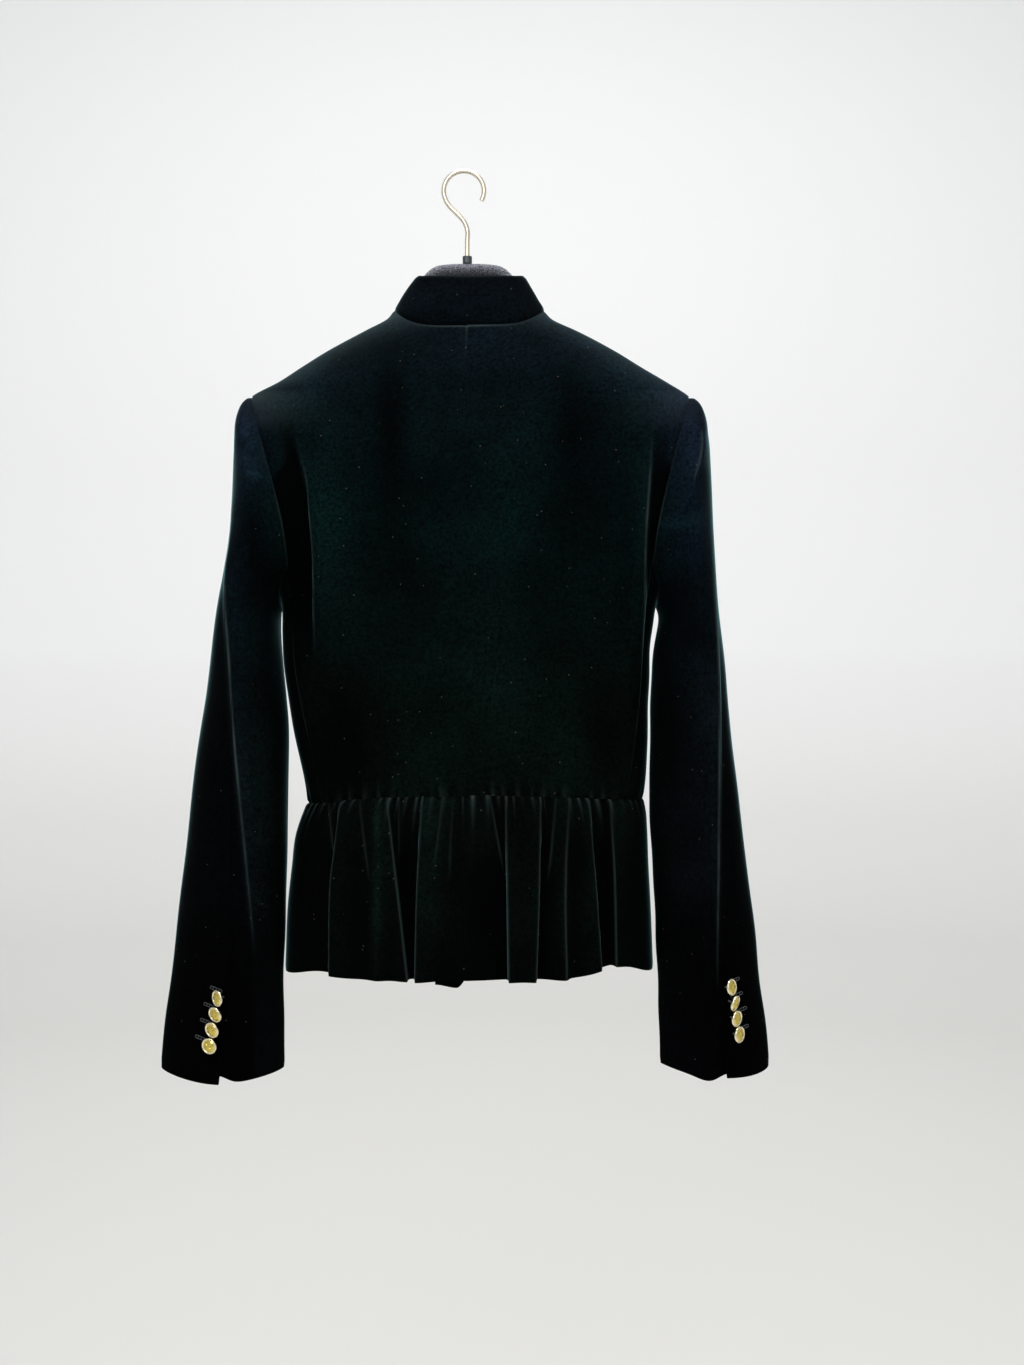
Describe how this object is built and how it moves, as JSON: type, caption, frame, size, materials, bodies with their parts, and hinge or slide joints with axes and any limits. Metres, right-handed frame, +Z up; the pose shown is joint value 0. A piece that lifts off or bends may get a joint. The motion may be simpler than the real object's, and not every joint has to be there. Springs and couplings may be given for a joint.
{
  "type": "velvet jacket on a hanger",
  "caption": "Fitted velvet jacket with a stand collar, two-piece sleeves with buttoned cuffs and a gathered peplum, hanging on a flocked hanger with a wire hook.",
  "frame": {"origin": "inner top of the hanger's hook, where it rests on a rail", "axes": "+Z up, the jacket's back faces -Y, the wearer's right is +X"},
  "size_m": [0.528, 0.1998, 0.7904],
  "materials": {
    "velvet": "deep black-green pile",
    "gold": "polished",
    "flock": "flocked",
    "wire": "pale satin",
    "ferrule": "satin"
  },
  "bodies": {
    "root": {"back_left": "velvet", "back_right": "velvet", "side_left": "velvet", "side_right": "velvet", "front_left": "velvet", "front_right": "velvet", "collar": "velvet", "sleeve_left_top": "velvet", "sleeve_left_under": "velvet", "sleeve_right_top": "velvet", "sleeve_right_under": "velvet", "peplum_back_left": "velvet", "peplum_back_right": "velvet", "peplum_front_left": "velvet", "peplum_front_right": "velvet", "cuff_button_left_1": "gold", "cuff_button_left_2": "gold", "cuff_button_left_3": "gold", "cuff_button_left_4": "gold", "cuff_button_right_1": "gold", "cuff_button_right_2": "gold", "cuff_button_right_3": "gold", "cuff_button_right_4": "gold", "hanger_body": "flock", "hanger_neck": "ferrule", "hanger_hook": "wire"}
  },
  "joints": []
}
